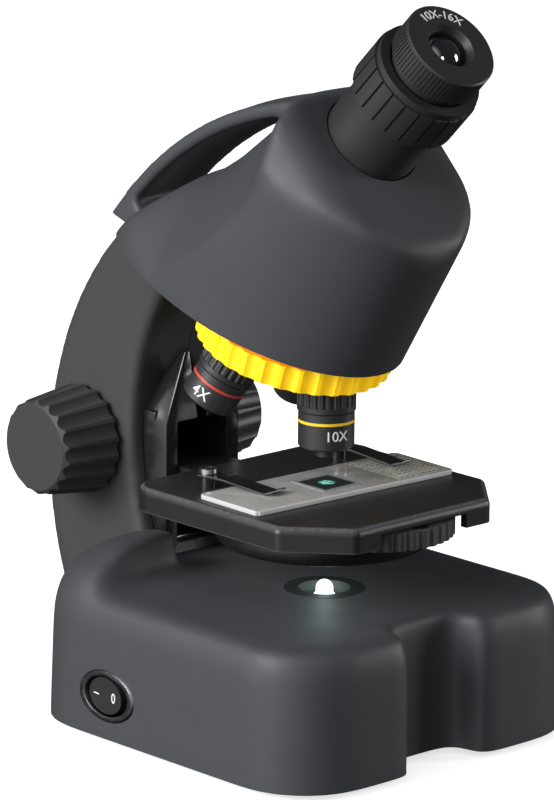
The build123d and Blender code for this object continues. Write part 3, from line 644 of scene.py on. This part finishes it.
def headBody(inset, name):
    # an egg-shaped plan pushed up along the lean, then cut to the profile
    half = head["halfWidth"] - inset
    clearSelection()
    bpy.ops.mesh.primitive_cylinder_add(vertices=128, radius=1, depth=1, location=(0, 0, 0.5))
    body = settle(added(name))
    editAll(body)
    for sign, reach in ((-1, head["front"]), (1, head["rear"])):
        selectWhere(body, lambda place: place.y * sign > 0.001)
        bpy.ops.transform.resize(value=(1, reach - inset, 1), center_override=(0, 0, 0))
    leaveEdit()
    tilt = math.radians(head["tilt"])
    lean = Vector(head["lean"])
    start = Vector(head["rim"]) - lean * head["drop"]
    columns = [Vector((half, 0, 0)), Vector((0, 1, math.tan(tilt))), lean * head["height"]]
    rows = [[column[row] * mm for column in columns] + [start[row] * mm] for row in range(3)]
    body.data.transform(Matrix(rows + [[0, 0, 0, 1]]))
    face = Vector(head["faceNormal"]).normalized()
    down = Vector((0, -1, -1)).normalized()

    def shave(point, normal):
        normal = Vector(normal).normalized()
        trim(body, (Vector(point) - normal * inset) * mm, normal)

    shave(head["face"], face)
    shave(head["top"], head["topNormal"])
    shave(head["back"], head["backNormal"])
    shave(head["tail"], head["tailNormal"])
    facePoint = Vector(head["face"])
    shift, turn = head["brow"]
    shave(facePoint + down * shift, face + down * turn)
    for side in (-1, 1):
        out = Vector((side, 0, 0))
        for (across, fall, proud), (outTurn, downTurn) in head["facets"]:
            point = facePoint + out * across + down * fall + face * proud
            shave(point, face + out * outTurn + down * downTurn)
    return outward(body)


def crestHeight(x, y):
    # the profile along the middle, falling away towards the sides
    profile = head["crest"]
    y = min(max(y, profile[0][0]), profile[-1][0])
    for (y0, z0), (y1, z1) in zip(profile, profile[1:]):
        if y <= y1:
            height = z0 + (z1 - z0) * (y - y0) / (y1 - y0)
            break
    share = min(max((y - head["domeFrom"]) / head["domeOver"], 0.5), 1)
    return height - head["dome"] * (abs(x) / head["domeWidth"]) ** head["domePower"] * share


def crestCutter(inset):
    # a sheet laid over the crest and drawn up to a block
    clearSelection()
    bpy.ops.mesh.primitive_grid_add(x_subdivisions=48, y_subdivisions=68, size=1)
    cutter = added("crestCutter")
    wide, long, middle = head["crestSheet"]
    cutter.scale = (wide * mm, long * mm, 1)
    cutter.location = (0, middle * mm, 0)
    settle(cutter)
    for vertex in cutter.data.vertices:
        vertex.co.z = (crestHeight(vertex.co.x / mm, vertex.co.y / mm) - inset) * mm
    editAll(cutter)
    bpy.ops.mesh.extrude_region_move(TRANSFORM_OT_translate={"value": (0, 0, head["crestBlock"] * mm)})
    leaveEdit()
    return outward(cutter)


def handleArch(name):
    # a rounded strip spun round the arch's centre
    thickness, first, last, steps = handle[name]
    centre = Vector(handle["centre"])
    start = math.radians(first)
    radius = handle["outer"] - thickness / 2
    clearSelection()
    bpy.ops.mesh.primitive_grid_add(x_subdivisions=8, y_subdivisions=2, size=1)
    strip = added(name)
    strip.scale = (2 * handle["halfWidth"] * mm, thickness * mm, 1)
    strip.location = (0, radius * mm, 0)
    settle(strip)
    editAll(strip)
    for share, lift in handle["crownSteps"]:
        limit = share * handle["halfWidth"] * mm
        selectWhere(strip, lambda place: abs(place.x) < limit)
        bpy.ops.transform.translate(value=(0, lift * handle["crown"] * mm, 0))
    leaveEdit()
    upright = Matrix.Rotation(math.radians(90), 4, "X")
    strip.data.transform(Matrix.Translation(centre * mm) @ Matrix.Rotation(start, 4, "X") @ upright)
    editAll(strip)
    bpy.ops.mesh.spin(steps=steps, angle=math.radians(first - last), center=centre * mm, axis=(1, 0, 0))
    leaveEdit()
    return outward(strip)


def makeHead():
    outer = headBody(0, "headShell")
    subtract(outer, crestCutter(0))
    soften(outer, head["voxel"] * mm, head["passes"])
    join(outer, handleArch("arch"), handleArch("root"))
    soften(outer, head["joinVoxel"] * mm, head["joinPasses"])
    inner = headBody(head["wall"], "headHollow")
    subtract(inner, crestCutter(head["wall"] + head["hollowDrop"]))
    soften(inner, head["hollowVoxel"] * mm, head["hollowPasses"])
    subtract(outer, inner)
    tilt = math.radians(head["tilt"])
    trim(outer, Vector(head["rim"]) * mm, (0, math.sin(tilt), -math.cos(tilt)))
    hole = eye["tube"] + head["eyeHoleGap"]
    subtract(outer, rod("eyeHole", eye["face"], -eye["out"], hole, 60, 128))
    finishPiece(outer, "stand", looks["softGrey"].material, 50)
    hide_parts("head_shell", "carry_handle")


makeHead()
print("head")


arm = {
    "halfWidth": 19.3, "outerCentre": (0.6, 66.0), "outer": 102.3, "innerCentre": (-20, 80.0),
    "inner": 83.5, "foot": 5.0, "top": 146.0, "seat": 43.4, "wall": 66.4, "shell": 2.6,
    "voxel": 1.3, "passes": 26,
    "slot": 14.7, "slotLow": 46, "slotHigh": 84.2, "screws": ((80, 108), (84, 44), (74, 18)),
    "shaft": (83.5, 75.5), "shaftHole": 4.6, "screwHole": 2.6, "seam": 0.12,
}


def crescent(name, inset, reach):
    # the C between two circles that don't share a centre
    half = arm["halfWidth"] - inset
    across = (1, 0, 0)
    body = rod(name, (-half, *arm["outerCentre"]), across, arm["outer"] - inset, 2 * half, 256)
    start = (-half - 5, *arm["innerCentre"])
    subtract(body, rod("armHollow", start, across, arm["inner"] + inset, 2 * half + 10, 256))
    trim(body, (0, 20 * mm, 0), (0, -1, 0))
    trim(body, (0, 0, (arm["foot"] + inset - reach) * mm), (0, 0, -1))
    trim(body, (0, 0, (arm["top"] - inset + reach) * mm), (0, 0, 1))
    return body


def makeArm():
    body = crescent("armShell", 0, 12)
    soften(body, arm["voxel"] * mm, arm["passes"])
    subtract(body, box("armFoot", (-30, 0, -20), (30, arm["wall"], arm["seat"])))
    trim(body, (0, 0, arm["foot"] * mm), (0, 0, -1))
    trim(body, (0, 0, arm["top"] * mm), (0, 0, 1))
    inner = crescent("armInside", arm["shell"], 0)
    high = (30, arm["wall"] + arm["shell"], arm["seat"] + arm["shell"])
    subtract(inner, box("armInsideFoot", (-30, 0, -20), high))
    subtract(body, inner)
    slot = arm["slot"]
    subtract(body, box("armSlot", (-slot, 40, arm["slotLow"]), (slot, 74, arm["slotHigh"])))
    half = arm["halfWidth"]
    start = (-half - 5, *arm["shaft"])
    subtract(body, rod("shaftHole", start, (1, 0, 0), arm["shaftHole"], 2 * half + 10, 48))
    for place in arm["screws"]:
        start = (half - arm["shell"], *place)
        subtract(body, rod("screwHole", start, (1, 0, 0), arm["screwHole"], 6, 32))
    other = copyOf(body, "armShellRight")
    trim(body, (-arm["seam"] * mm, 0, 0), (1, 0, 0))
    trim(other, (arm["seam"] * mm, 0, 0), (-1, 0, 0))
    body.name = "armShellLeft"
    finishPiece(body, "stand", looks["armGrey"].material, 50)
    finishPiece(other, "stand", looks["armGrey"].material, 50)
    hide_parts("arm_left")
    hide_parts("arm_right")


makeArm()
print("arm")


base = {
    "halfWidth": 57.8, "front": -51.8, "rear": 68.5, "bottom": 2.0, "plateau": 43.2, "shoulder": 56.0,
    "shoulderFront": 40.0, "well": 19.6, "notch": 13.5, "notchDepth": 11.8, "frontCorner": 23,
    "rearCorner": 2, "draft": 1.9, "shell": 5.0, "voxel": 1.6, "passes": 48, "drop": 26,
    "hollowVoxel": 2.4, "hollowPasses": 60, "lampHole": 11.8,
    "switch": (-57.2, 29.5, 15.0), "switchHole": (10.6, 6.8),
}


def roundUpright(piece, where, radius):
    # rounds the one upright edge that stands at a corner of the plan
    editAll(piece)
    selectWhere(piece, where)
    bpy.ops.mesh.bevel(
        offset=radius * mm, offset_type="OFFSET", segments=16, affect="EDGES", clamp_overlap=False)
    leaveEdit()


def makeBase():
    half = base["halfWidth"]
    drop = base["drop"]
    low = (-half, base["front"], base["bottom"] - drop)
    body = box("baseShell", low, (half, base["rear"], base["shoulder"]))
    for side in (-1, 1):
        for end, radius in ((-0.05, base["frontCorner"]), (0.065, base["rearCorner"])):
            def atCorner(place):
                beyond = place.y < end if end < 0 else place.y > end
                return place.x * side > 0.05 and beyond

            roundUpright(body, atCorner, radius)
    # the walls lean in a little towards the top
    editAll(body)
    selectWhere(body, lambda place: place.z > 0.05)
    lean = 1 - math.tan(math.radians(base["draft"])) * (base["shoulder"] - base["bottom"]) / half
    middle = (base["front"] + base["rear"]) / 2 * mm
    bpy.ops.transform.resize(value=(lean, lean, 1), center_override=(0, middle, 0))
    selectWhere(body, lambda place: place.z < 0)
    grow = 1 + math.tan(math.radians(base["draft"])) * drop / half
    bpy.ops.transform.resize(value=(grow, grow, 1), center_override=(0, middle, 0))
    leaveEdit()
    top = base["shoulder"] + 5
    subtract(body, box("plateauCut", (-70, -70, base["plateau"]), (70, base["shoulderFront"], top)))
    subtract(body, box("wellCut", (-base["well"], 30, base["plateau"]), (base["well"], 80, top)))
    notch = base["notch"]
    subtract(body, box("notchCut", (-notch, -70, -30), (notch, base["front"] + base["notchDepth"], 70)))
    soften(body, base["voxel"] * mm, base["passes"])
    trim(body, (0, 0, base["bottom"] * mm), (0, 0, -1))
    shell = base["shell"]
    front = base["front"] + base["notchDepth"] + shell
    high = base["plateau"] - shell
    hollow = box("baseHollow", (-half + shell, front, -40), (half - shell, base["rear"] - shell, high))
    soften(hollow, base["hollowVoxel"] * mm, base["hollowPasses"])
    subtract(body, hollow)
    subtract(body, rod("lampHole", (0, 0, 30), (0, 0, 1), base["lampHole"], 20, 96))
    tilt = math.radians(base["draft"])
    out = Vector((-math.cos(tilt), 0, math.sin(tilt)))
    hole = rod("switchHole", Vector(base["switch"]) - out * 10, out, 1, 16, 64)
    wide, tall = base["switchHole"]
    editAll(hole)
    bpy.ops.transform.resize(value=(1, wide, tall), center_override=Vector(base["switch"]) * mm)
    leaveEdit()
    subtract(body, hole)
    finishPiece(body, "stand", looks["softGrey"].material, 50)
    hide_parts("base_shell")


makeBase()
print("base")


numerals = {
    "numeral10x": {"text": "10X", "turn": 0, "face": (-0.36, -0.93, 0), "size": 4.2},
    "numeral4x": {"text": "4X", "turn": -120, "face": (-0.894, -0.388, 0.24), "size": 4.7},
    "numeral40x": {"text": "40X", "turn": 120, "face": (-0.2, -0.95, 0.2), "size": 4.0},
}
turret = {"tilt": 18, "apex": (0, 0, 156.2), "reach": 66.0, "barrel": 8.21}
print3d = {"depth": 0.12, "sink": 0.04}
eyePrint = {"text": "10X-16X", "size": 3.9, "radius": 10.6, "turn": 14}
rockerPrint = {
    "rock": -7, "pin": 5.5, "face": 6.62,
    "marks": (("symbolOn", "\u2013", -4.3, 5.0), ("symbolOff", "0", 4.3, 4.2)),
}


def textMesh(name, text, size):
    # a line of print in millimetres, centred on the origin
    clearSelection()
    bpy.ops.object.text_add()
    piece = bpy.context.active_object
    piece.data.body = text
    piece.data.size = size
    piece.data.extrude = print3d["depth"] / 2
    piece.data.offset = size * 0.003
    piece.data.align_x = "CENTER"
    piece.data.align_y = "CENTER"
    piece.data.resolution_u = 4
    bpy.ops.object.convert(target="MESH")
    piece = settle(added(name))
    modify(piece, "WELD", merge_threshold=0.001)
    editAll(piece)
    bpy.ops.mesh.subdivide(number_cuts=1)
    leaveEdit()
    return piece


def makeNumerals():
    tilt = math.radians(turret["tilt"])
    up = Vector((0, -math.sin(tilt), math.cos(tilt)))
    for name, numeral in numerals.items():
        down = Matrix.Rotation(math.radians(numeral["turn"]), 3, up) @ Vector((0, 0, -1))
        face = Vector(numeral["face"])
        face = (face - down * face.dot(down)).normalized()
        side = (-down).cross(face)
        start = Vector(turret["apex"]) + down * turret["reach"]
        piece = textMesh(name, numeral["text"], numeral["size"])
        for vertex in piece.data.vertices:
            x, y, z = vertex.co
            radius = turret["barrel"] + z + print3d["sink"]
            angle = x / turret["barrel"]
            spread = (face * math.cos(angle) + side * math.sin(angle)) * radius
            vertex.co = (start - down * y + spread) * mm
        finishPiece(piece, "nosepiece", looks["white"].material)


def makeEyeNumerals():
    out = eye["out"]
    up = Vector((0, 1, 1)).normalized()
    side = up.cross(out)
    piece = textMesh("eyeNumerals", eyePrint["text"], eyePrint["size"])
    radius = eyePrint["radius"]
    for vertex in piece.data.vertices:
        x, y, z = vertex.co
        angle = x / radius + math.radians(eyePrint["turn"])
        spread = (up * math.cos(angle) + side * math.sin(angle)) * (radius + y)
        vertex.co = (eye["face"] + spread + out * (z + print3d["sink"])) * mm
    finishPiece(piece, "eyepiece_zoom_ring", looks["white"].material)


def makeSwitchSymbols():
    tilt = math.radians(base["draft"])
    rock = math.radians(rockerPrint["rock"])
    up = Vector((math.sin(tilt), 0, math.cos(tilt)))
    out = Matrix.Rotation(rock, 3, up) @ Vector((-math.cos(tilt), 0, math.sin(tilt)))
    side = up.cross(out)
    inward = Vector((math.cos(tilt), 0, -math.sin(tilt)))
    pin = Vector(base["switch"]) + inward * rockerPrint["pin"]
    for name, text, shift, size in rockerPrint["marks"]:
        piece = textMesh(name, text, size)
        for vertex in piece.data.vertices:
            x, y, z = vertex.co
            vertex.co = (pin + out * (rockerPrint["face"] + z) + side * (x + shift) + up * y) * mm
        finishPiece(piece, "rocker", looks["white"].material)


makeNumerals()
makeEyeNumerals()
makeSwitchSymbols()
print("print")


edges = {
    "stage_guide": ("bracketEdged", "stand", "stage_black", "bracketBlack", 0.45),
    "specimen_slide": ("slideEdged", "stage", "slide_plastic", "slide", 0.3),
    "switch_bezel": ("bezelEdged", "stand", "gunmetal", "gunmetal", 0.35),
    "clip_left": ("clipLeftEdged", "left_clip", "clip_steel", "blueSteel", 0.1),
    "clip_right": ("clipRightEdged", "right_clip", "clip_steel", "blueSteel", 0.1),
}


def makeEdges():
    # copies of the plain parts whose sharp edges are rounded, so that they catch the light
    for node, (name, body, slot, look, width) in edges.items():
        clearSelection()
        piece = bpy.data.objects.new(name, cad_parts[node].data.copy())
        bpy.context.scene.collection.objects.link(piece)
        editAll(piece)
        bpy.ops.mesh.remove_doubles(threshold=0.01 * mm)
        bpy.ops.mesh.dissolve_limited(angle_limit=math.radians(3))
        leaveEdit()
        corner = math.radians(35)
        modify(piece, "BEVEL", width=width * mm, segments=3, limit_method="ANGLE", angle_limit=corner)
        finishPiece(piece, body, looks[look].material, 40)
        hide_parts(node)


makeEdges()
print("edges")


eyeLens = {"radius": 7.4, "rim": 6.1, "top": -0.7}


def makeEyeLens():
    centre = eye["face"] + eye["out"] * (eyeLens["top"] - eyeLens["radius"])
    clearSelection()
    bpy.ops.mesh.primitive_uv_sphere_add(
        segments=96, ring_count=96, radius=eyeLens["radius"] * mm, location=centre * mm)
    lens = settle(added("eyeLensDome"))
    depth = math.sqrt(eyeLens["radius"] ** 2 - eyeLens["rim"] ** 2)
    trim(lens, (centre + eye["out"] * depth) * mm, -eye["out"])
    finishPiece(lens, "eyepiece_zoom_ring", looks["lens"].material, 50)
    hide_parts("eye_lens")


makeEyeLens()
print("eyepiece")


lampBulb = {
    "radius": 2.5, "flange": 3.1, "flangeHeight": 0.9, "top": 45.6, "foot": 40.5, "voxel": 0.18,
}


def bulbLook():
    # white at the crown of the dome and teal round its foot
    look = Look("lampBulb")
    x, y, z = look.axes()
    foot = lampBulb["foot"] * mm
    crown = look.part(z + look.noise(1.2) * 0.0004, foot, foot + 2.2 * mm)
    look.set(Base_Color=look.mix(crown, (0.05, 0.2, 0.2), (0.9, 1.0, 1.0)), Roughness=0.1)
    look.set(Emission_Color=look.mix(crown, (0.1, 0.5, 0.5), (0.9, 1.0, 1.0)), Emission_Strength=3.0)
    return look


def makeLampBulb():
    # a round-headed diode that stands in the middle of the clear window
    radius, foot = lampBulb["radius"], lampBulb["foot"]
    middle = lampBulb["top"] - radius
    clearSelection()
    bpy.ops.mesh.primitive_uv_sphere_add(
        segments=32, ring_count=24, radius=radius * mm, location=(0, 0, middle * mm))
    bulb = settle(added("lampBulb"))
    barrel = rod("bulbBarrel", (0, 0, foot), (0, 0, 1), radius, middle - foot, 32)
    flange = rod("bulbFlange", (0, 0, foot), (0, 0, 1), lampBulb["flange"], lampBulb["flangeHeight"], 32)
    join(bulb, barrel, flange)
    soften(bulb, lampBulb["voxel"] * mm, 3)
    finishPiece(bulb, "stand", bulbLook().material, 60)


makeLampBulb()
print("lamp")
